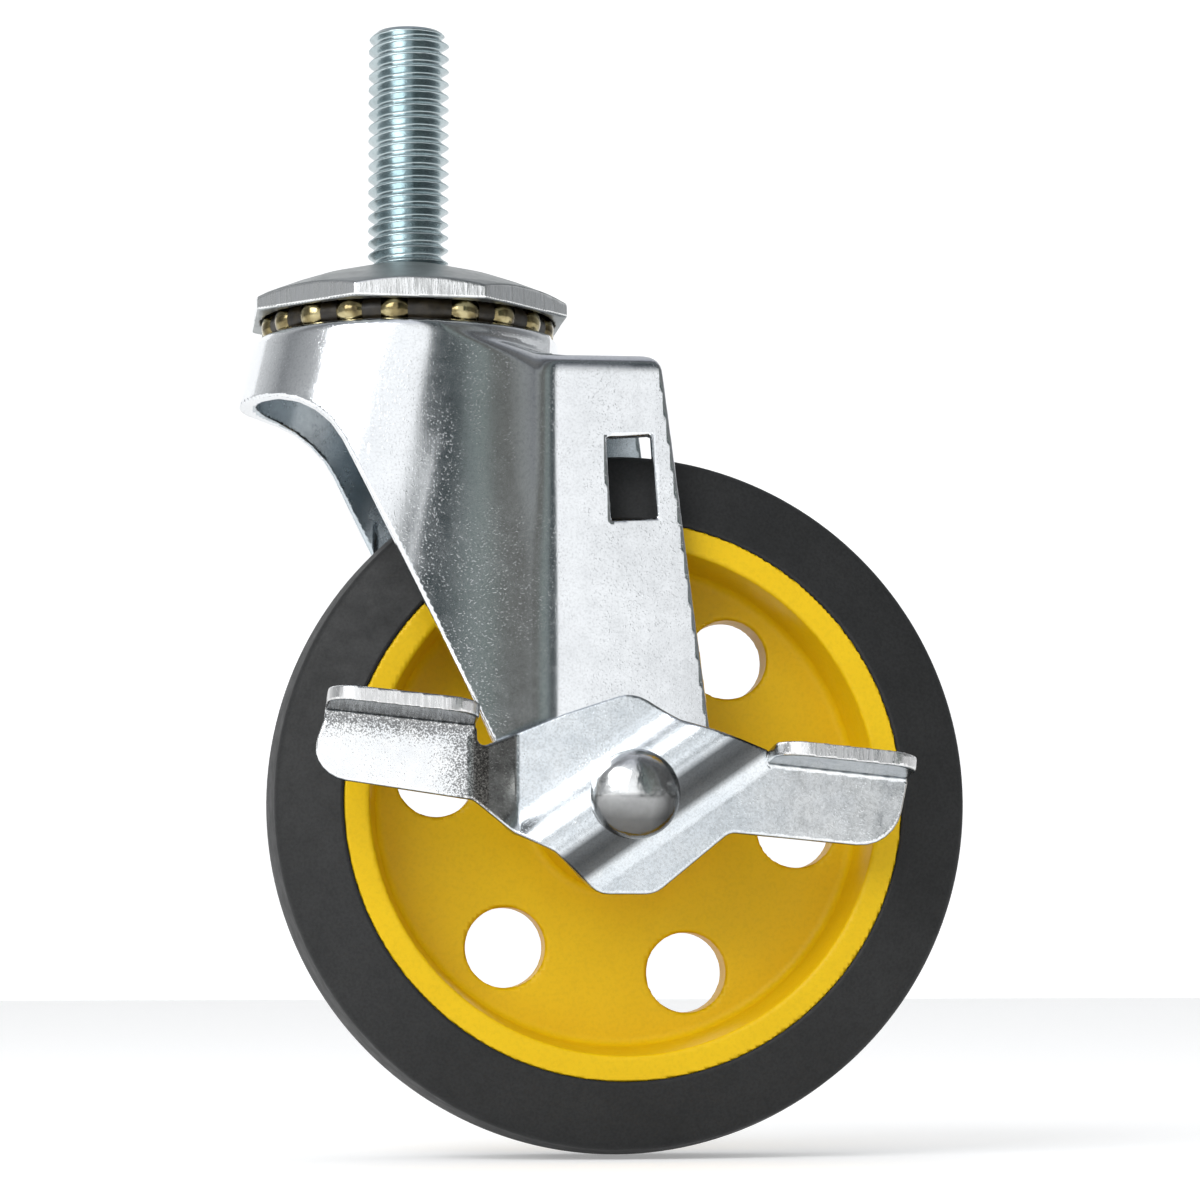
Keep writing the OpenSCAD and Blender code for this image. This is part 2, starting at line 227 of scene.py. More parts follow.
FORK_OUTLINE = (
    rounded([(-60, 0, 0), (-60, HEM_Z, 0), (front_edge(-HEM_Z), HEM_Z, 13),
             (front_edge(75.5), -75.5, 0)])
    + arc(AXLE[0], AXLE[1], LEG_END_R, 205, 358, 16)
    + rounded([(rear_edge(71.5), -71.5, 0), (rear_edge(-DECK_Z), DECK_Z, 3), (FOLD_X, DECK_Z, 0),
               (FOLD_X, 0, 0)])
)
CROWN_PROFILE = (
    [(7.6, -5.6), (13.2, -5.6), (14.6, -6.2)]
    + arc(UPPER_R, UPPER_Z, UPPER_TRACK, 178, 330.4, 14)
    + arc(20.765, -12.09, 1.235, 80, 0, 5)
    + [(22.0, -15.6), (19.9, -15.6), (19.9, -14.85), (15.6, -14.85), (13.2, -11.1), (13.2, -9.3),
       (12, -8.1), (7.6, -8.1)]
)
CAP_PROFILE = (
    [(NECK_R, 0), (9.5, -0.85), (14, -2.05), (18, -3.5), (22.2, -5.25), (24.6, -6.6),
     (24.6, -CAP_HEIGHT), (21.3, -CAP_HEIGHT)]
    + arc(UPPER_R, UPPER_Z, UPPER_TRACK, 24, 128, 12)
    + [(13.4, -4.8), (11, -4.0), (7.3, -CAP_WALL), (NECK_R, -CAP_WALL)]
)
LEVER_OUTLINE = rounded([
    (-42.1, 11.1, 0), (-43.8, 6.4, 5), (-42.9, 2.2, 5), (-22.2, -0.9, 2), (-16.3, -5.3, 1),
    (-11, -7.8, 3), (-4.6, -13.6, 3.5), (3.2, -13.6, 4), (13.6, -5.1, 2), (36.6, -7.3, 6),
    (38.6, 2.1, 0), (19.1, 4.2, 0.2), (18.9, 6.3, 0.4), (11.2, 9, 3), (6.7, 10.4, 4),
    (0.2, 14.4, 5), (-9.2, 11.3, 4), (-21.6, 6.2, 1), (-21.7, 9.0, 0)])
LEVER_FACE = LEVER_Y + LEVER_SHEET
LEVER_PLAN = rounded([
    (-60, -LEVER_Y - JOGGLE, 0), (-21.8, -LEVER_Y - JOGGLE, 1.2), (-15.6, -LEVER_Y, 3), (60, -LEVER_Y, 0),
    (60, -LEVER_FACE, 0), (-15.9, -LEVER_FACE, 1.2), (-22.4, -LEVER_FACE - JOGGLE, 3),
    (-60, -LEVER_FACE - JOGGLE, 0)])


def fork_form(x, y, z):
    """Solid form inside the fork's outer faces: skirt, bulged flanks and plates under their deck."""
    lean = (x - SKIRT_X) * math.cos(SKIRT_LEAN) - (z - SKIRT_TOP_Z) * math.sin(SKIRT_LEAN)
    skirt = round_max(np.hypot(lean, y) - SKIRT_R, z - SKIRT_TOP_Z, 1.4)
    rise = BULGE_Y - PLATE_Y
    low = np.clip((RIDGE_Z - z) / 24, 0, 1)
    high = np.clip((z - RIDGE_Z) / 12, 0, 1)
    ridge = BULGE_X + (BULGE_LOW_X - BULGE_X) * low * low * (3 - 2 * low) + 0.9 * high * high
    bulge_r = ((BULGE_END - ridge) ** 2 + rise * rise) / (2 * rise)
    flank = np.hypot(x - ridge, np.abs(y) + bulge_r - BULGE_Y) - bulge_r
    # Further in at the upper front, so that the skirt alone forms the face there
    flank = flank + 0.45 * np.clip((-1 - x) / 5, 0, 1) * np.clip((z + 30) / 8, 0, 1)
    share = np.clip((x - 4) / 14, 0, 1)
    top = SHOULDER_Z + (DECK_Z - SHOULDER_Z) * share
    flank = np.maximum(round_max(flank, z - top, 1.5 + (BEND_R - 1.5) * share), SKIRT_SEAM - x)
    plates = round_max(np.abs(y) - PLATE_Y, z - DECK_Z, BEND_R)
    plates = np.maximum(plates, BULGE_END - 3 - x)
    return soft_min(soft_min(skirt, flank, 0.7), plates, 0.75)


def fork_field(x, y, z):
    """Sheet under those faces, cut to its outline, with the ball track, the windows and the bores."""
    form = fork_form(x, y, z)
    shell = np.maximum(form, -(form + SHEET))
    r = np.hypot(x, y)
    # Cleared inside the crown, whose own profile is added below
    shell = np.maximum(shell, -np.maximum(r - (CROWN_R - SHEET), DECK_Z - BEND_R - z))
    outline = polygon_field(FORK_OUTLINE, x, z)
    shell = round_max(shell, outline, 0.45)
    body = soft_min(shell, polygon_field(CROWN_PROFILE, r, z), 0.3)
    body = np.maximum(body, UPPER_TRACK - np.hypot(r - UPPER_R, z - UPPER_Z))
    c, s = math.cos(WINDOW_LEAN), math.sin(WINDOW_LEAN)
    u = (x - WINDOW[0]) * c + (z - WINDOW[1]) * s
    w = (z - WINDOW[1]) * c - (x - WINDOW[0]) * s
    window = np.maximum(np.abs(u) - WINDOW_HALF[0], np.abs(w) - WINDOW_HALF[1])
    bore = np.hypot(x - AXLE[0], z - AXLE[1]) - BORE_R
    return round_max(round_max(body, -window, 0.35), -bore, 0.2)


def cap_field(x, y, z):
    """Domed washer with the upper ball track, cut to eight sides."""
    form = polygon_field(CAP_PROFILE, np.hypot(x, y), z)
    edge = None
    for i in range(8):
        a = math.radians(45 * i) + CAP_TURN
        side = x * math.cos(a) + y * math.sin(a) - CAP_APOTHEM
        edge = side if edge is None else np.maximum(edge, side)
    return round_max(form, edge, 0.3)


def pedal_field(x, y, z, span, z0, face):
    """Flange bent out of an arm; z0 is its upper face where its span starts, face the arm's outer one."""
    x0, x1 = span
    c, s = math.cos(PEDAL_TILT), math.sin(PEDAL_TILT)
    u = (x - x0) * c - (z - z0) * s
    w = (x - x0) * s + (z - z0) * c
    v = y + face
    turn = 90 - PEDAL_RISE
    cv, cw = LEVER_SHEET - LEVER_BEND, -LEVER_BEND
    out, up = -math.sin(math.radians(turn)), math.cos(math.radians(turn))
    reach = (PEDAL_DEPTH + cv) / -out
    upper = arc(cv, cw, LEVER_BEND, 0, turn, 6)
    lower = arc(cv, cw, LEVER_BEND - LEVER_SHEET, turn, 0, 4)
    profile = (upper + [(upper[-1][0] + reach * out, upper[-1][1] + reach * up),
                        (lower[0][0] + reach * out, lower[0][1] + reach * up)] + lower
               + [(0, -LEVER_BEND - 1), (LEVER_SHEET, -LEVER_BEND - 1)])
    length = x1 - x0
    plan = rounded([(0, -PEDAL_DEPTH, 4.5), (length, -PEDAL_DEPTH, 4.5), (length, LEVER_SHEET + 1, 0),
                    (0, LEVER_SHEET + 1, 0)], step=6)
    return round_max(polygon_field(profile, v, w), polygon_field(plan, u, v), 0.35)


def lever_field(x, y, z):
    """Joggled sheet with its diagonal bead and both pedals."""
    x = x - AXLE[0]
    z = z - AXLE[1]
    sheet = polygon_field(LEVER_PLAN, x, y)
    bead_r = (BEAD_W * BEAD_W / 4 + BEAD_H * BEAD_H) / (2 * BEAD_H)
    across = z * math.cos(BEAD_ANGLE) - x * math.sin(BEAD_ANGLE)
    bead = np.hypot(across, y + LEVER_FACE + BEAD_H - bead_r) - bead_r
    hollow = bead + LEVER_SHEET
    form = soft_min(sheet, np.maximum(bead, y + LEVER_Y), 2.4)
    form = np.maximum(form, -hollow)
    form = round_max(form, polygon_field(LEVER_OUTLINE, x, z), 0.35)
    form = np.minimum(form, pedal_field(x, y, z, LEFT_PEDAL, LEFT_PEDAL_Z, LEVER_FACE + JOGGLE))
    form = np.minimum(form, pedal_field(x, y, z, RIGHT_PEDAL, RIGHT_PEDAL_Z, LEVER_FACE))
    return round_max(form, BORE_R - np.hypot(x, z), 0.2)


def hub_field(x, y, z):
    """Turned hub with a dish on each side, and the six holes through its web."""
    x = x - AXLE[0]
    z = z - AXLE[1]
    r = np.hypot(x, z)
    side = np.abs(y)
    rim_in = HUB_R - 3.6
    half = rounded([
        (BUSH_R, -1, 0), (BUSH_R, WHEEL_HALF + 0.5, 0.4), (BOSS_R, WHEEL_HALF + 0.5, 1.2),
        (BOSS_R + 0.6, WEB_HALF, 1.5), (rim_in - 1.2, WEB_HALF, 1.4), (rim_in, WHEEL_HALF, 0.5),
        (HUB_R, WHEEL_HALF, 0.2), (HUB_R, -1, 0)])
    form = polygon_field(half, r, side)
    for i in range(6):
        a = math.radians(HOLE_START + 60 * i)
        hole = np.hypot(x - HOLE_ROW_R * math.cos(a), z - HOLE_ROW_R * math.sin(a)) - HOLE_R
        form = round_max(form, -hole, 0.35)
    return form


# Meshes from fields

def edge_shares(values, axis):
    """Where the field crosses zero along the grid's edges in one direction, and how far along."""
    low = [slice(None)] * 3
    high = [slice(None)] * 3
    low[axis] = slice(0, -1)
    high[axis] = slice(1, None)
    a, b = values[tuple(low)], values[tuple(high)]
    cross = (a < 0) != (b < 0)
    share = np.where(cross, a / np.where(cross, a - b, 1), 0)
    return a, cross, share


def surface_net(field, low, high, step):
    """Vertices and quads where a field is zero, settled onto it, with the field's own normals."""
    axes = [np.arange(low[i], high[i] + step, step) for i in range(3)]
    shape = tuple(len(a) for a in axes)
    grid = field(axes[0][:, None, None], axes[1][None, :, None], axes[2][None, None, :])
    values = np.broadcast_to(grid, shape)
    cells = tuple(n - 1 for n in shape)
    total = np.zeros(cells + (3,))
    count = np.zeros(cells)
    crossings = []
    for a in range(3):
        b, c = (a + 1) % 3, (a + 2) % 3
        start, cross, share = edge_shares(values, a)
        crossings.append((start, cross))
        for ob in (0, 1):
            for oc in (0, 1):
                part = [slice(None)] * 3
                part[b] = slice(ob, ob + cells[b])
                part[c] = slice(oc, oc + cells[c])
                hit = cross[tuple(part)]
                count += hit
                total[..., a] += share[tuple(part)]
                total[..., b] += ob * hit
                total[..., c] += oc * hit
    used = count > 0
    number = np.full(cells, -1)
    number[used] = np.arange(used.sum())
    points = total[used] / count[used][:, None] + np.argwhere(used)
    points = np.array([a[0] for a in axes]) + points * step
    quads = []
    for a in range(3):
        b, c = (a + 1) % 3, (a + 2) % 3
        start, cross = crossings[a]
        inner = [slice(None)] * 3
        inner[b] = slice(1, -1)
        inner[c] = slice(1, -1)
        at = np.argwhere(cross[tuple(inner)])
        at[:, b] += 1
        at[:, c] += 1
        ring = []
        for ob, oc in ((-1, -1), (0, -1), (0, 0), (-1, 0)):
            cell = at.copy()
            cell[:, b] += ob
            cell[:, c] += oc
            ring.append(number[cell[:, 0], cell[:, 1], cell[:, 2]])
        ring = np.stack(ring, 1)
        outward = start[at[:, 0], at[:, 1], at[:, 2]] < 0
        quads.append(np.where(outward[:, None], ring, ring[:, ::-1]))
    quads = np.concatenate(quads)
    points = settle(field, points, step, 2)
    for _ in range(2):
        points = settle(field, evened(points, quads), step, 1)
    points = settle(field, points, step, 1)
    slope = field_slope(field, points)[1]
    normals = slope / np.maximum(np.linalg.norm(slope, axis=1), 1e-9)[:, None]
    return points, quads, normals


def settle(field, points, step, passes):
    """Moves points along the field's slope to where it is zero."""
    for _ in range(passes):
        value, slope = field_slope(field, points)
        move = value / np.maximum((slope ** 2).sum(1), 0.25)
        points = points - np.clip(move, -0.3 * step, 0.3 * step)[:, None] * slope
    return points


def evened(points, quads, share=0.5):
    """Moves each point part of the way to the middle of its neighbours, so that edges don't zigzag."""
    at = np.concatenate([quads, quads]).ravel()
    near = np.concatenate([np.roll(quads, 1, 1), np.roll(quads, -1, 1)]).ravel()
    count = np.bincount(at, minlength=len(points))
    total = [np.bincount(at, weights=points[near, a], minlength=len(points)) for a in range(3)]
    middle = np.stack(total, 1) / np.maximum(count, 1)[:, None]
    return points + share * (middle - points)


def field_slope(field, points, reach=0.04):
    """Value and gradient of a field at some points."""
    value = field(*points.T)
    slope = []
    for a in range(3):
        offset = np.zeros(3)
        offset[a] = reach
        ahead = field(*(points + offset).T)
        behind = field(*(points - offset).T)
        slope.append((ahead - behind) / (2 * reach))
    return value, np.stack(slope, 1)


def mesh_piece(name, points, faces, normals=None):
    """Blender object from points in millimetres."""
    mesh = bpy.data.meshes.new(name)
    mesh.from_pydata((np.asarray(points) * MM).tolist(), [], np.asarray(faces).tolist())
    mesh.validate()
    mesh.shade_smooth()
    if normals is not None:
        mesh.normals_split_custom_set_from_vertices(np.asarray(normals).tolist())
    obj = bpy.data.objects.new(name, mesh)
    bpy.context.scene.collection.objects.link(obj)
    return obj


def net_piece(name, field, low, high, step):
    """Piece from a field, over a box in millimetres and at a grid's step."""
    points, quads, normals = surface_net(field, low, high, step)
    return mesh_piece(name, points, quads, normals)


def lathe_points(profile, count, centre=(0, 0, 0), axis="z"):
    """Points of a profile of (radius, height), turned about an axis in count steps."""
    points = []
    for i in range(count):
        a = 2 * math.pi * i / count
        for r, h in profile:
            if axis == "z":
                points.append((centre[0] + r * math.cos(a), centre[1] + r * math.sin(a), centre[2] + h))
            else:
                points.append((centre[0] + r * math.cos(a), centre[1] - h, centre[2] + r * math.sin(a)))
    return np.array(points)


def lathe(name, profile, count, centre=(0, 0, 0), axis="z", closed=True):
    """Turned piece. A profile that isn't closed starts and ends on the axis."""
    n = len(profile)
    points = lathe_points(profile, count, centre, axis)
    faces = []
    for i in range(count):
        j = (i + 1) % count
        for k in range(n if closed else n - 1):
            m = (k + 1) % n
            faces.append((i * n + k, i * n + m, j * n + m, j * n + k))
    obj = mesh_piece(name, points, faces)
    weld_ends(obj)
    return obj


def weld_ends(obj, reach=1e-6):
    """Joins the points that lie together on the axis and turns all faces outward."""
    bm = bmesh.new()
    bm.from_mesh(obj.data)
    bmesh.ops.remove_doubles(bm, verts=bm.verts, dist=reach)
    bmesh.ops.dissolve_degenerate(bm, edges=bm.edges, dist=reach)
    bmesh.ops.recalc_face_normals(bm, faces=bm.faces)
    bm.to_mesh(obj.data)
    bm.free()
    obj.data.shade_smooth()


# Camera

def add_camera():
    """Camera at the photograph's place, with its turn and focal length."""
    position = Vector(CAMERA) * MM
    yaw, pitch, roll = (math.radians(v) for v in CAMERA_TURN)
    look = Vector((math.sin(yaw) * math.cos(pitch), math.cos(yaw) * math.cos(pitch), math.sin(pitch)))
    level = Vector((math.cos(yaw), -math.sin(yaw), 0))
    upright = level.cross(look)
    right = math.cos(roll) * level + math.sin(roll) * upright
    up = -math.sin(roll) * level + math.cos(roll) * upright
    data = bpy.data.cameras.new("camera")
    data.sensor_width = 36
    data.lens = data.sensor_width * FOCAL / IMAGE
    data.clip_start = 0.01
    data.clip_end = 50
    camera = bpy.data.objects.new("camera", data)
    turn = Matrix((right, up, -look)).transposed()
    camera.matrix_world = Matrix.Translation(position) @ turn.to_4x4()
    bpy.context.scene.collection.objects.link(camera)
    bpy.context.scene.camera = camera


# Materials

def new_material(name):
    """Material with one principled shader; returns it with its tree and its shader."""
    material = bpy.data.materials.new(name)
    material.use_nodes = True
    nodes = material.node_tree.nodes
    nodes.clear()
    out = nodes.new("ShaderNodeOutputMaterial")
    shader = nodes.new("ShaderNodeBsdfPrincipled")
    material.node_tree.links.new(shader.outputs[0], out.inputs[0])
    return material, material.node_tree, shader


def node(tree, kind, **inputs):
    """New node with some of its inputs set, named as in Blender."""
    made = tree.nodes.new(kind)
    for key, value in inputs.items():
        made.inputs[key].default_value = value
    return made


def noise(tree, scale, detail=3.0, rough=0.5, stretch=None):
    """Noise over the piece's own coordinates, in cells per metre."""
    place = tree.nodes.new("ShaderNodeTexCoord")
    made = node(tree, "ShaderNodeTexNoise", Scale=scale, Detail=detail, Roughness=rough)
    source = place.outputs["Object"]
    if stretch:
        mapping = node(tree, "ShaderNodeMapping")
        mapping.inputs["Scale"].default_value = stretch
        tree.links.new(source, mapping.inputs["Vector"])
        source = mapping.outputs[0]
    tree.links.new(source, made.inputs["Vector"])
    return made.outputs["Fac"]


def ramp(tree, source, stops):
    """Colours over a value, as (place, colour) pairs in rising order."""
    made = tree.nodes.new("ShaderNodeValToRGB")
    tree.links.new(source, made.inputs[0])
    elements = made.color_ramp.elements
    while len(elements) < len(stops):
        elements.new(0.5)
    for element, (place, colour) in zip(elements, stops):
        element.position = place
        element.color = (*colour, 1)
    return made.outputs[0]


def spots(tree, grain, stops):
    """Colours over noise, whose grain is its scale, detail, roughness and, if any, its stretch."""
    return ramp(tree, noise(tree, *grain), stops)


def mix(tree, share, a, b):
    """Blend of two colours, each a value or another node's output."""
    made = tree.nodes.new("ShaderNodeMix")
    made.data_type = "RGBA"
    for socket, value in ((made.inputs[0], share), (made.inputs[6], a), (made.inputs[7], b)):
        if isinstance(value, bpy.types.NodeSocket):
            tree.links.new(value, socket)
        else:
            socket.default_value = value
    return made.outputs[2]


def mottle(tree, shader, grain, low, high):
    """Roughness that varies between two values."""
    rough = spots(tree, grain, [(0.3, grey(low)), (0.7, grey(high))])
    tree.links.new(rough, shader.inputs["Roughness"])


def bump(tree, shader, layers):
    """Chain of bumps; each layer is (source, strength, distance in metres)."""
    last = None
    for source, strength, distance in layers:
        made = node(tree, "ShaderNodeBump", Strength=strength, Distance=distance)
        tree.links.new(source, made.inputs["Height"])
        if last is not None:
            tree.links.new(last, made.inputs["Normal"])
        last = made.outputs[0]
    tree.links.new(last, shader.inputs["Normal"])


def grey(value):
    return (value, value, value)


def times(tree, a, b):
    """Product of two colours."""
    made = tree.nodes.new("ShaderNodeMix")
    made.data_type = "RGBA"
    made.blend_type = "MULTIPLY"
    made.inputs[0].default_value = 1
    tree.links.new(a, made.inputs[6])
    tree.links.new(b, made.inputs[7])
    return made.outputs[2]


def math_node(tree, operation, a, b):
    """Result of an operation on two values or outputs of nodes."""
    made = tree.nodes.new("ShaderNodeMath")
    made.operation = operation
    for socket, value in zip(made.inputs, (a, b)):
        if isinstance(value, bpy.types.NodeSocket):
            tree.links.new(value, socket)
        else:
            socket.default_value = value
    return made.outputs[0]


def part_of(tree, output, axis):
    """One coordinate of the piece's place or normal, or of a direction in the world."""
    source = tree.nodes.new("ShaderNodeTexCoord")
    parts = tree.nodes.new("ShaderNodeSeparateXYZ")
    tree.links.new(source.outputs[output], parts.inputs[0])
    return parts.outputs[axis]


def measure(tree, axis, origin=0.0):
    """One coordinate of the piece in millimetres from an origin."""
    metres = part_of(tree, "Object", axis)
    return math_node(tree, "SUBTRACT", math_node(tree, "MULTIPLY", metres, 1 / MM), origin)


def steep(tree, axis, low, high):
    """One where the surface runs along an axis, falling to zero where it faces along it."""
    lean = math_node(tree, "ABSOLUTE", part_of(tree, "Normal", axis), 0)
    return ramp(tree, lean, [(low, grey(1.0)), (high, grey(0.0))])


def crystals(tree):
    """Sparse raised grains of the plating, denser in some patches than in others."""
    grains = spots(tree, (3300, 1, 0.5), [(0.63, grey(0.0)), (0.7, grey(1.0))])
    patches = spots(tree, (120, 3, 0.6, (1, 1, 0.3)), [(0.42, grey(0.12)), (0.62, grey(1.0))])
    return times(tree, grains, patches)


def zinc_material(name, low, high, rough=(0.1, 0.17), speckle=0.1, draw=(1, 1, 0.06), sparkle=0.45):
    """Zinc plate: blue-white metal with faint clouds, draw marks and a fine sparkle."""
    material, tree, shader = new_material(name)
    shader.inputs["Metallic"].default_value = 1
    cloud = spots(tree, (110, 4, 0.6), [(0.3, low), (0.7, high)])
    grain = spots(tree, (2600, 3, 0.6), [(0.34, grey(1 - speckle)), (0.52, grey(1.0))])
    tree.links.new(times(tree, cloud, grain), shader.inputs["Base Color"])
    mottle(tree, shader, (420, 5, 0.65), *rough)
    bump(tree, shader, [(noise(tree, 130, 2, 0.5, draw), 0.05, 0.0003),
                        (noise(tree, 900, 3, 0.6, draw), 0.04, 0.00008),
                        (crystals(tree), sparkle, 0.00002)])
    return material


def cap_material():
    """Zinc plate, matt on the dome, with a coarse sheared edge on the eight sides."""
    material, tree, shader = new_material("zinc_cap")
    shader.inputs["Metallic"].default_value = 1
    edge = steep(tree, 2, 0.35, 0.55)
    cloud = spots(tree, (160, 4, 0.6), [(0.3, (0.3, 0.32, 0.32)), (0.7, (0.43, 0.45, 0.45))])
    streak = noise(tree, 1500, 3, 0.65, (1, 1, 0.12))
    sheared = ramp(tree, streak, [(0.34, (0.66, 0.67, 0.67)), (0.5, (0.9, 0.91, 0.91)),
                                  (0.66, (0.97, 0.98, 0.99))])
    tree.links.new(mix(tree, edge, cloud, sheared), shader.inputs["Base Color"])
    matt = spots(tree, (500, 5, 0.65), [(0.3, grey(0.34)), (0.7, grey(0.46))])
    rough = ramp(tree, streak, [(0.35, grey(0.3)), (0.6, grey(0.13))])
    tree.links.new(mix(tree, edge, matt, rough), shader.inputs["Roughness"])
    ribs = math_node(tree, "MULTIPLY", streak, edge)
    bump(tree, shader, [(noise(tree, 200, 3, 0.5), 0.12, 0.0003), (ribs, 0.14, 0.0002),
                        (noise(tree, 2600, 3, 0.6), 0.16, 0.00006)])
    return material


def lever_material():
    """Zinc plate, mottled on flat faces, with painted shade and highlight, ribbed on the sheared edges."""
    material, tree, shader = new_material("zinc_lever")
    shader.inputs["Metallic"].default_value = 1
    x = measure(tree, 0, AXLE[0])
    z = measure(tree, 2, AXLE[1])
    rim = math_node(tree, "LESS_THAN", measure(tree, 1), 3.0 - LEVER_FACE - PEDAL_DEPTH)
    edge = math_node(tree, "MULTIPLY", rim, steep(tree, 2, 0.45, 0.7))
    cloud = spots(tree, (240, 5, 0.65), [(0.32, (0.7, 0.75, 0.79)), (0.68, (0.84, 0.88, 0.91))])
    grain = spots(tree, (3400, 2, 0.6), [(0.36, grey(0.84)), (0.56, grey(1.0))])
    # Lighter copy of the plate colour: painted highlight on the right arm's end and on the left arm
    highlight_cloud = spots(tree, (240, 5, 0.65), [(0.32, (0.9, 0.92, 0.94)), (0.68, (0.98, 0.99, 0.99))])
    right_arm_highlight = ramp(tree, math_node(tree, "MULTIPLY", x, 0.025), [(0.35, grey(0.0)), (0.6, grey(0.85))])
    cloud = times(tree, mix(tree, right_arm_highlight, cloud, highlight_cloud), grain)

    # Painted shade and highlight across the bead
    across = math_node(tree, "SUBTRACT", math_node(tree, "MULTIPLY", z, math.cos(BEAD_ANGLE)),
                       math_node(tree, "MULTIPLY", x, math.sin(BEAD_ANGLE)))
    share = math_node(tree, "ADD", math_node(tree, "MULTIPLY", across, 1 / BEAD_SPAN), 0.5)
    painted_bead_shade = ramp(tree, share, [(a / BEAD_SPAN + 0.5, grey(v)) for a, v in BEAD_PAINTED_SHADE])
    cloud = times(tree, cloud, painted_bead_shade)

    # Painted shade on faces that turn to the rear or down
    rear_facing_shade = ramp(tree, part_of(tree, "Normal", 0), [(0.2, grey(1.0)), (0.45, (0.42, 0.4, 0.37))])
    under = math_node(tree, "MULTIPLY", part_of(tree, "Normal", 2), -1)
    under = ramp(tree, under, [(0.5, grey(1.0)), (0.85, (0.16, 0.19, 0.21))])
    turned = times(tree, rear_facing_shade, under)
    cloud = times(tree, cloud, turned)

    # Left arm: painted highlight with the turned faces' painted shade, and dull specks below its pedal and
    # towards the joggle
    left_arm = math_node(tree, "LESS_THAN", x, -20)
    slant = math_node(tree, "MULTIPLY", math_node(tree, "ADD", x, -LEFT_PEDAL[0]), math.sin(PEDAL_TILT))
    drop = math_node(tree, "SUBTRACT", LEFT_PEDAL_Z, z)
    drop = math_node(tree, "MULTIPLY", drop, math.cos(PEDAL_TILT))
    depth = math_node(tree, "MULTIPLY", math_node(tree, "SUBTRACT", drop, slant), 0.1)
    dull = ramp(tree, depth, [(0.28, grey(1.0)), (0.42, grey(0.62)), (0.6, grey(0.12)), (0.75, grey(0.0))])
    rear = ramp(tree, math_node(tree, "MULTIPLY", math_node(tree, "ADD", x, 32), 0.1),
                [(0.25, grey(0.0)), (0.6, grey(0.45)), (0.8, grey(0.8))])
    level = ramp(tree, part_of(tree, "Normal", 2), [(0.3, grey(1.0)), (0.6, grey(0.0))])
    dull = math_node(tree, "MULTIPLY", math_node(tree, "MAXIMUM", dull, rear), level)
    shift = math_node(tree, "MULTIPLY", dull, 0.3)
    specks = ramp(tree, math_node(tree, "SUBTRACT", noise(tree, 4200, 3, 0.6), shift),
                  [(0.2, grey(0.26)), (0.36, grey(1.0))])
    cloud = mix(tree, left_arm, cloud, times(tree, times(tree, highlight_cloud, turned), specks))

    # Sheared outer edges of the pedals
    streak = noise(tree, 1900, 3, 0.65, (1, 0.1, 0.12))
    sheared = ramp(tree, streak, [(0.34, grey(0.66)), (0.5, grey(0.8)), (0.66, grey(0.9))])
    tree.links.new(mix(tree, edge, cloud, sheared), shader.inputs["Base Color"])
    plain = spots(tree, (520, 5, 0.65), [(0.3, grey(0.14)), (0.7, grey(0.26))])
    rough = ramp(tree, streak, [(0.35, grey(0.4)), (0.6, grey(0.2))])
    tree.links.new(mix(tree, edge, plain, rough), shader.inputs["Roughness"])
    ribs = math_node(tree, "MULTIPLY", streak, edge)
    bump(tree, shader, [(noise(tree, 170, 3, 0.5), 0.1, 0.0004), (ribs, 0.08, 0.0002),
                        (crystals(tree), 0.6, 0.00002)])
    return material


def rivet_material():
    """Polished dome with a few soft dents, and painted shade towards its lower and rear rim."""
    material, tree, shader = new_material("polished_head")
    shader.inputs["Metallic"].default_value = 1
    cloud = spots(tree, (300, 4, 0.6), [(0.3, (0.66, 0.67, 0.67)), (0.7, (0.88, 0.89, 0.89))])
    # Painted shade on faces turned down and to the rear
    under = math_node(tree, "MULTIPLY", part_of(tree, "Normal", 2), -1)
    low = ramp(tree, under, [(0.0, grey(1.0)), (0.06, grey(0.5)), (0.5, grey(0.2))])
    rear = ramp(tree, part_of(tree, "Normal", 0), [(0.25, grey(1.0)), (0.6, grey(0.3))])
    tree.links.new(times(tree, times(tree, cloud, low), rear), shader.inputs["Base Color"])
    mottle(tree, shader, (500, 4, 0.6), 0.14, 0.27)
    bump(tree, shader, [(noise(tree, 330, 2, 0.5), 0.35, 0.0006), (crystals(tree), 0.3, 0.00002)])
    return material


def plastic_material():
    """Moulded yellow plastic with a satin skin and faint flow marks."""
    material, tree, shader = new_material("yellow_plastic")
    colour = spots(tree, (45, 4, 0.55), [(0.3, (0.72, 0.46, 0.002)), (0.7, (0.79, 0.515, 0.004))])
    grain = spots(tree, (1900, 3, 0.6), [(0.3, grey(0.93)), (0.55, grey(1.0))])
    tree.links.new(times(tree, colour, grain), shader.inputs["Base Color"])
    mottle(tree, shader, (300, 4, 0.6), 0.4, 0.52)
    shader.inputs["Specular IOR Level"].default_value = 0.25
    shader.inputs["Subsurface Weight"].default_value = 0.08
    shader.inputs["Subsurface Radius"].default_value = (0.004, 0.002, 0.0005)
    bump(tree, shader, [(noise(tree, 60, 3, 0.5), 0.1, 0.0006), (noise(tree, 1400, 2, 0.5), 0.08, 0.00005)])
    return material


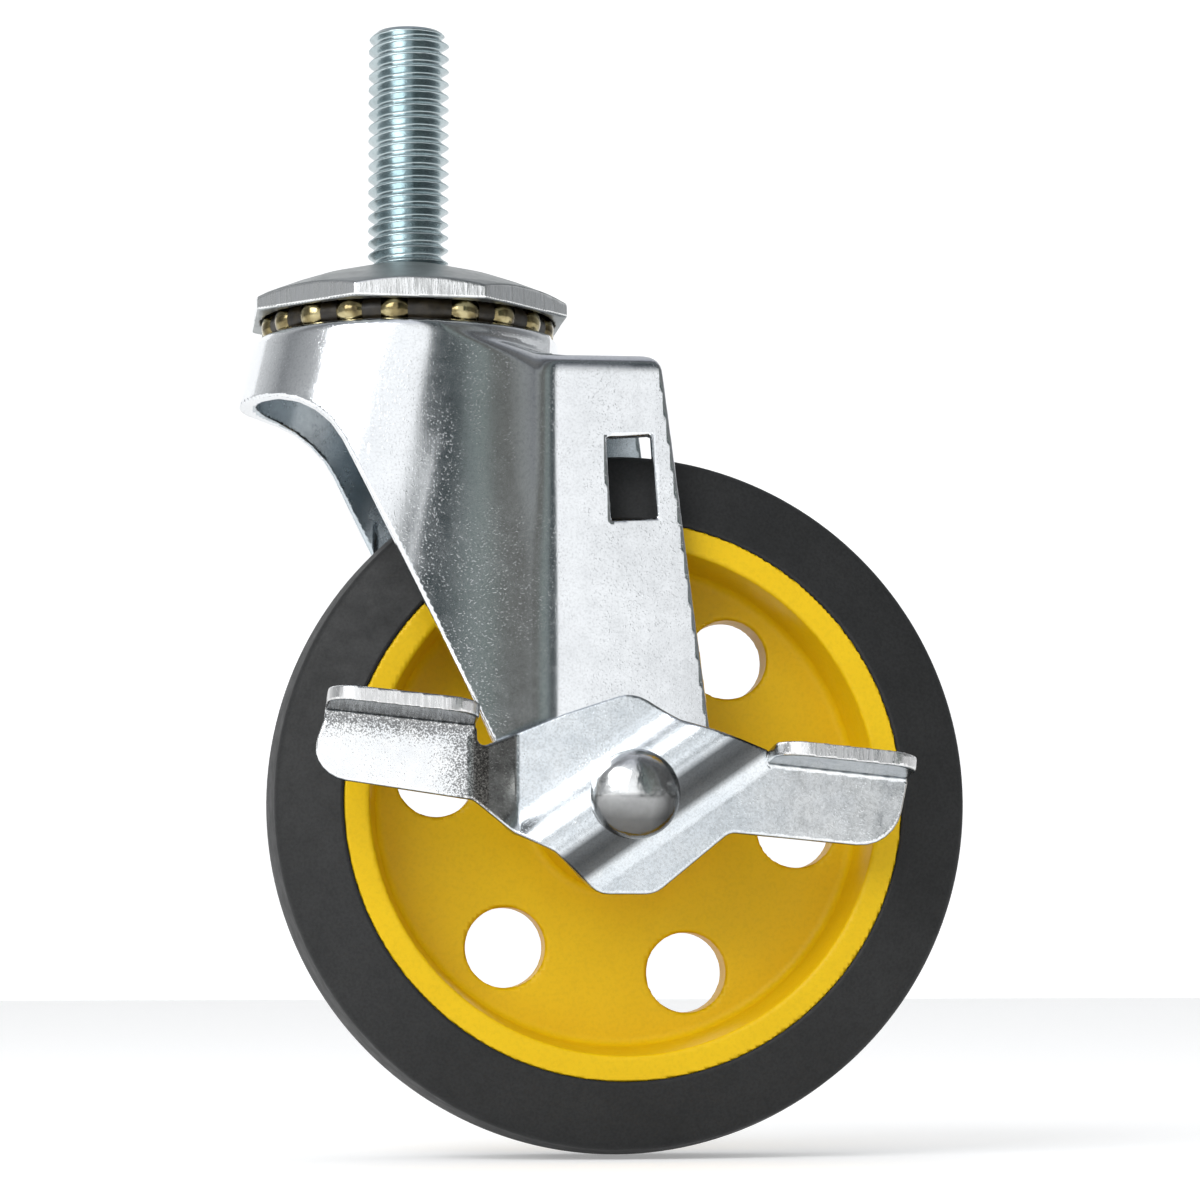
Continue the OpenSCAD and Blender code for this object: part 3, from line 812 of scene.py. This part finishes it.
def tyre_material():
    """Moulded dark grey rubber, matt and faintly mottled."""
    material, tree, shader = new_material("black_tyre")
    colour = spots(tree, (70, 5, 0.6), [(0.3, (0.013, 0.0135, 0.0138)), (0.7, (0.021, 0.0215, 0.022))])
    grain = spots(tree, (2400, 3, 0.6), [(0.34, grey(0.8)), (0.6, grey(1.15))])
    tree.links.new(times(tree, colour, grain), shader.inputs["Base Color"])
    mottle(tree, shader, (400, 4, 0.6), 0.52, 0.66)
    shader.inputs["Specular IOR Level"].default_value = 0.3
    bump(tree, shader, [(noise(tree, 120, 4, 0.6), 0.15, 0.0006),
                        (noise(tree, 2200, 3, 0.6), 0.2, 0.00008)])
    return material


def ball_material():
    """Steel balls under a film of yellow-brown grease."""
    material, tree, shader = new_material("greased_balls")
    shader.inputs["Metallic"].default_value = 1
    colour = spots(tree, (420, 3, 0.5), [(0.35, (0.07, 0.05, 0.015)), (0.5, (0.24, 0.19, 0.08)),
                                         (0.65, (0.5, 0.43, 0.23))])
    tree.links.new(colour, shader.inputs["Base Color"])
    shader.inputs["Roughness"].default_value = 0.18
    shader.inputs["Coat Weight"].default_value = 0.6
    shader.inputs["Coat Roughness"].default_value = 0.12
    bump(tree, shader, [(noise(tree, 900, 3, 0.5), 0.25, 0.00012)])
    return material


def grease_material():
    """Old dark brown grease, wet and slightly lumpy."""
    material, tree, shader = new_material("dark_grease")
    colour = spots(tree, (600, 4, 0.6), [(0.35, (0.006, 0.004, 0.002)), (0.7, (0.03, 0.022, 0.01))])
    tree.links.new(colour, shader.inputs["Base Color"])
    mottle(tree, shader, (500, 3, 0.6), 0.3, 0.5)
    bump(tree, shader, [(noise(tree, 700, 3, 0.6), 0.3, 0.0002)])
    return material


def assign(obj, material):
    """Gives a whole piece one material."""
    obj.data.materials.clear()
    obj.data.materials.append(material)
    for polygon in obj.data.polygons:
        polygon.material_index = 0


def dress(obj, material, body, slot, *nodes):
    """Gives a piece its material and body, in the place of the CAD nodes named; slot is not used."""
    assign(obj, material)
    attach(obj, body)
    if nodes:
        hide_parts(*nodes)


# Pieces

def shade_inside_faces(fork, material):
    """Gives the fork's inner faces a material of their own, a darker zinc that paints their shade."""
    fork.data.materials.append(material)
    middles = np.array([polygon.center for polygon in fork.data.polygons]) / MM
    depth = fork_form(middles[:, 0], middles[:, 1], middles[:, 2])
    hidden = (depth < -0.8 * SHEET) & (middles[:, 2] < DECK_Z)
    for polygon, inner in zip(fork.data.polygons, hidden):
        polygon.material_index = int(inner)


def thread_radius(angle, height):
    """Outer radius of the rolled thread, with a chamfer over its last millimetre."""
    phase = (height / THREAD_PITCH - angle / (2 * math.pi)) % 1.0
    flank = 1 - np.abs(2 * phase - 1)
    ridge = np.clip(1.25 * np.sqrt(flank * flank + 0.02) - 0.24, 0, 1)
    chamfer = np.maximum(0, height - (STEM_LENGTH - 1.0))
    return THREAD_R - np.maximum(THREAD_DEPTH * (1 - ridge), chamfer)


def make_stem():
    """Threaded stem down to the seat, then the plain shoulder and the round head inside the fork."""
    turns, rows_per_mm = 120, 9
    heights = np.linspace(0.0, STEM_LENGTH, int(STEM_LENGTH * rows_per_mm) + 1)
    angles = 2 * math.pi * np.arange(turns) / turns
    head_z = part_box("stem_bolt")[0].z / MM
    head_top = head_z + HEAD_HEIGHT
    below = [(0.0, head_z), (HEAD_R - 1.5, head_z), (HEAD_R - 0.3, head_z + 0.9), (HEAD_R, head_z + 1.5),
             (HEAD_R, head_top), (SHOULDER_R, head_top), (SHOULDER_R, -CAP_WALL), (NECK_R, -CAP_WALL),
             (NECK_R, -0.02)]
    columns = []
    for a in angles:
        radii = thread_radius(a, heights)
        column = below + list(zip(radii, heights))
        column += [(radii[-1] * 0.5, STEM_LENGTH), (0.0, STEM_LENGTH)]
        columns.append([(r * math.cos(a), r * math.sin(a), z) for r, z in column])
    n = len(columns[0])
    points = [p for column in columns for p in column]
    faces = []
    for i in range(turns):
        j = (i + 1) % turns
        for k in range(n - 1):
            faces.append((i * n + k, j * n + k, j * n + k + 1, i * n + k + 1))
    stem = mesh_piece("threaded_bolt", points, faces)
    weld_ends(stem)
    return stem


def make_tyre():
    """Tyre with a lightly crowned tread and bevelled shoulders."""
    profile = rounded([
        (HUB_R, -WHEEL_HALF, 0), (HUB_R + 0.5, -WHEEL_HALF, 0.2), (WHEEL_R - 1.3, -WHEEL_HALF + 3.4, 1.6),
        (WHEEL_R, 0, 30), (WHEEL_R - 1.3, WHEEL_HALF - 3.4, 1.6), (HUB_R + 0.5, WHEEL_HALF, 0.2),
        (HUB_R, WHEEL_HALF, 0)], step=6)
    return lathe("moulded_tyre", profile, 192, (AXLE[0], 0, AXLE[1]), "y")


def make_rivet():
    """Rivet with its formed tail on the far side, its shank and the domed head on the brake side."""
    low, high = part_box("axle_rivet")
    head_top = -low.y / MM
    tail_end = -high.y / MM
    tail_top = tail_end + TAIL_HEIGHT
    base = head_top - DOME_HEIGHT - DOME_RIM
    profile = [(0.0, tail_end)]
    profile += [(TAIL_R * math.sin(a), tail_top - TAIL_HEIGHT * math.cos(a))
                for a in np.linspace(0.15, math.pi / 2, 10)]
    profile += [(RIVET_R, tail_top), (RIVET_R, base), (DOME_R - 0.15, base), (DOME_R, base + 0.2)]
    profile += [(DOME_R * math.cos(a), base + DOME_RIM + DOME_HEIGHT * math.sin(a))
                for a in np.linspace(0, math.pi / 2, 20)]
    profile[-1] = (0.0, head_top)
    return lathe("domed_rivet", profile, 96, (AXLE[0], 0, AXLE[1]), "y", closed=False)


def make_ball(name, node_name):
    """Ball in the place of a node, and of its size."""
    low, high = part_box(node_name)
    centre = (low + high) / 2 / MM
    r = (high.z - low.z) / 2 / MM
    profile = [(r * math.sin(a), -r * math.cos(a)) for a in np.linspace(0, math.pi, 25)]
    profile[0] = (0.0, -r)
    profile[-1] = (0.0, r)
    return lathe(name, profile, 36, centre, "z", closed=False)


def make_grease():
    """Dark grease packed between the balls of the upper row, in soft lumps."""
    rings, sides = 240, 20
    points = []
    for i in range(rings):
        a = 2 * math.pi * i / rings
        lump = 0.12 * math.sin(7 * a + 0.6) + 0.1 * math.sin(17 * a + 2.0) + 0.07 * math.sin(29 * a)
        for k in range(sides):
            b = 2 * math.pi * k / sides
            r = GREASE_R + lump * (0.7 + 0.3 * math.sin(2 * b + 3 * a))
            out = UPPER_R + r * math.cos(b)
            points.append((out * math.cos(a), out * math.sin(a), UPPER_Z + r * math.sin(b)))
    faces = []
    for i in range(rings):
        j = (i + 1) % rings
        for k in range(sides):
            m = (k + 1) % sides
            faces.append((i * sides + k, j * sides + k, j * sides + m, i * sides + m))
    return mesh_piece("ball_grease", points, faces)


def add_pieces():
    plate = zinc_material("zinc_plate", (0.8, 0.82, 0.84), (0.88, 0.9, 0.92))
    cap_zinc = cap_material()
    lever_zinc = lever_material()
    bolt_zinc = zinc_material("zinc_bolt", (0.38, 0.46, 0.48), (0.55, 0.63, 0.65), (0.16, 0.28), 0.12,
                              draw=(1, 1, 1))
    polished = zinc_material("polished_rivet", (0.7, 0.71, 0.72), (0.82, 0.83, 0.84), (0.1, 0.2), 0.05,
                             draw=(1, 1, 1), sparkle=0.1)
    # Darker copy of the plate zinc: painted shade on the fork's inner faces
    inside = zinc_material("zinc_inside_shade", (0.46, 0.51, 0.54), (0.6, 0.66, 0.7), (0.2, 0.3), 0.1)
    grease = grease_material()
    plastic = plastic_material()
    rubber = tyre_material()
    balls = ball_material()

    fork = net_piece("pressed_fork", fork_field, (-26.5, -24.0, -91.5), (44.0, 24.0, -4.5), 0.49)
    dress(fork, plate, "swivel_fork", "plated_sheet", "fork")
    shade_inside_faces(fork, inside)
    lever = net_piece("pressed_lever", lever_field, (-15.0, -38.5, -92.5), (71.0, -19.5, -60.0), 0.3)
    dress(lever, lever_zinc, "brake", "plated_lever", "brake_lever")
    cap = net_piece("octagonal_cap", cap_field, (-25.0, -25.0, -9.5), (25.0, 25.0, 1.0), 0.4)
    dress(cap, cap_zinc, "mount", "plated_cap", "top_cap")
    hub = net_piece("moulded_hub", hub_field, (-10.5, -15.5, -118.0), (70.5, 15.5, -37.0), 0.6)
    dress(hub, plastic, "wheel", "yellow_plastic", "hub")
    dress(make_tyre(), rubber, "wheel", "black_tyre", "tyre")
    dress(make_stem(), bolt_zinc, "mount", "plated_bolt", "stem_bolt")
    dress(make_rivet(), rivet_material(), "swivel_fork", "polished_rivet", "axle_rivet")
    for row, body in (("upper", "upper_row"), ("lower", "lower_row")):
        for name in sorted(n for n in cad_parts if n.startswith(row + "_ball_")):
            dress(make_ball("steel_" + name, name), balls, body, "greased_balls", name)
    dress(make_grease(), grease, "upper_row", "greased_balls")
    assign(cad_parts["tail_washer"], polished)
    assign(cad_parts["spring_washer"], polished)
    assign(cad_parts["hub_bush"], bolt_zinc)
    assign(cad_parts["lower_race"], cap_zinc)


# Floor, backdrop and lights, in metres

FLOOR_GAP = 0.0001
STAGE_REACH = 6.0
STAGE_HEIGHT = 4.0


def plain_sight(tree):
    """One for camera, mirror and glass rays, and zero for the light that falls on the object."""
    path = tree.nodes.new("ShaderNodeLightPath")
    total = path.outputs["Is Camera Ray"]
    for name in ("Is Glossy Ray", "Is Transmission Ray"):
        total = math_node(tree, "MAXIMUM", total, path.outputs[name])
    return total


def stage_sheet(name, corners, shade, glow):
    """Pale sheet that camera and mirror rays see brighter by its glow."""
    mesh = bpy.data.meshes.new(name)
    mesh.from_pydata(corners, [], [(0, 1, 2, 3)])
    sheet = bpy.data.objects.new(name, mesh)
    bpy.context.scene.collection.objects.link(sheet)
    material, tree, shader = new_material(name)
    shader.inputs["Base Color"].default_value = (shade, shade, shade, 1)
    shader.inputs["Roughness"].default_value = 0.9
    shader.inputs["Emission Color"].default_value = (1, 1, 1, 1)
    strength = math_node(tree, "MULTIPLY", plain_sight(tree), glow)
    tree.links.new(strength, shader.inputs["Emission Strength"])
    sheet.data.materials.append(material)


def add_stage():
    floor_z = cad_box[0][2] - FLOOR_GAP
    left, right = -STAGE_REACH, STAGE_REACH
    floor = [(left, left, floor_z), (right, left, floor_z), (right, right, floor_z), (left, right, floor_z)]
    backdrop = [(left, right, floor_z), (right, right, floor_z), (right, right, STAGE_HEIGHT),
                (left, right, STAGE_HEIGHT)]
    stage_sheet("pale_floor", floor, shade=0.8, glow=0.3)
    stage_sheet("pale_backdrop", backdrop, shade=0.9, glow=0.45)


def add_area(name, place, target, size, power):
    """White lamp with a rectangular face, turned towards a target."""
    data = bpy.data.lights.new(name, "AREA")
    data.shape = "RECTANGLE"
    data.size, data.size_y = size
    data.energy = power
    lamp = bpy.data.objects.new(name, data)
    lamp.location = place
    lamp.rotation_euler = (Vector(target) - Vector(place)).to_track_quat("-Z", "Y").to_euler()
    bpy.context.scene.collection.objects.link(lamp)


# What bright metal sees of the room, by direction in degrees from -Y towards +X: a pale wall on the
# photograph's left and behind its camera, and a dim side with shelves and panels on its right
ROOM = (
    (-180, (0.8, 0.81, 0.82)), (-146, (0.75, 0.76, 0.77)), (-127, (0.65, 0.66, 0.67)),
    (-113, (0.47, 0.48, 0.49)), (-100, (0.25, 0.26, 0.27)), (-88, (0.34, 0.35, 0.36)),
    (-70, (0.46, 0.47, 0.48)), (-55, (0.66, 0.68, 0.7)), (-38, (0.9, 0.92, 0.94)), (-22, (1.06, 1.08, 1.1)),
    (8.3, (1.12, 1.13, 1.14)), (9.6, (0.13, 0.145, 0.15)), (15, (0.05, 0.062, 0.066)),
    (19, (0.08, 0.093, 0.097)), (25, (0.2, 0.232, 0.228)), (30, (0.21, 0.245, 0.235)),
    (35, (0.15, 0.157, 0.15)), (41, (0.135, 0.137, 0.13)), (47, (0.26, 0.275, 0.27)),
    (52, (0.24, 0.25, 0.26)), (58, (0.12, 0.125, 0.13)), (70, (0.18, 0.18, 0.18)), (96, (0.25, 0.26, 0.27)),
    (112, (0.5, 0.51, 0.52)), (140, (0.7, 0.71, 0.72)), (180, (0.8, 0.81, 0.82)))
# Share of that brightness by the sine of the height of the direction
CEILING = ((0.2, grey(1.0)), (0.42, grey(0.95)), (0.62, grey(0.8)), (0.82, (0.68, 0.69, 0.72)),
           (1.0, (0.62, 0.63, 0.68)))
# Even light on matt surfaces
ROOM_LIGHT = (0.8, 0.81, 0.82, 1)


def add_lights():
    """One lamp and a world: the camera sees white there, metal the room, and the rest gets even light."""
    target = (0.02, 0, -0.06)
    add_area("key_left", (-0.65, -0.75, 0.55), target, (0.8, 0.8), 9.0)
    world = bpy.data.worlds.new("world")
    bpy.context.scene.world = world
    world.use_nodes = True
    tree = world.node_tree
    background = tree.nodes["Background"]
    x = part_of(tree, "Generated", 0)
    y = math_node(tree, "MULTIPLY", part_of(tree, "Generated", 1), -1)
    turn = math_node(tree, "ARCTAN2", x, y)
    share = math_node(tree, "ADD", math_node(tree, "MULTIPLY", turn, 0.5 / math.pi), 0.5)
    room = ramp(tree, share, [(a / 360 + 0.5, c) for a, c in ROOM])
    room = times(tree, room, ramp(tree, part_of(tree, "Generated", 2), CEILING))
    path = tree.nodes.new("ShaderNodeLightPath")
    light = mix(tree, path.outputs["Is Diffuse Ray"], room, ROOM_LIGHT)
    sight = mix(tree, path.outputs["Is Camera Ray"], light, (1, 1, 1, 1))
    tree.links.new(sight, background.inputs[0])
    background.inputs[1].default_value = 1.0


add_camera()
add_pieces()
add_stage()
add_lights()
bpy.context.scene.view_settings.view_transform = "Standard"
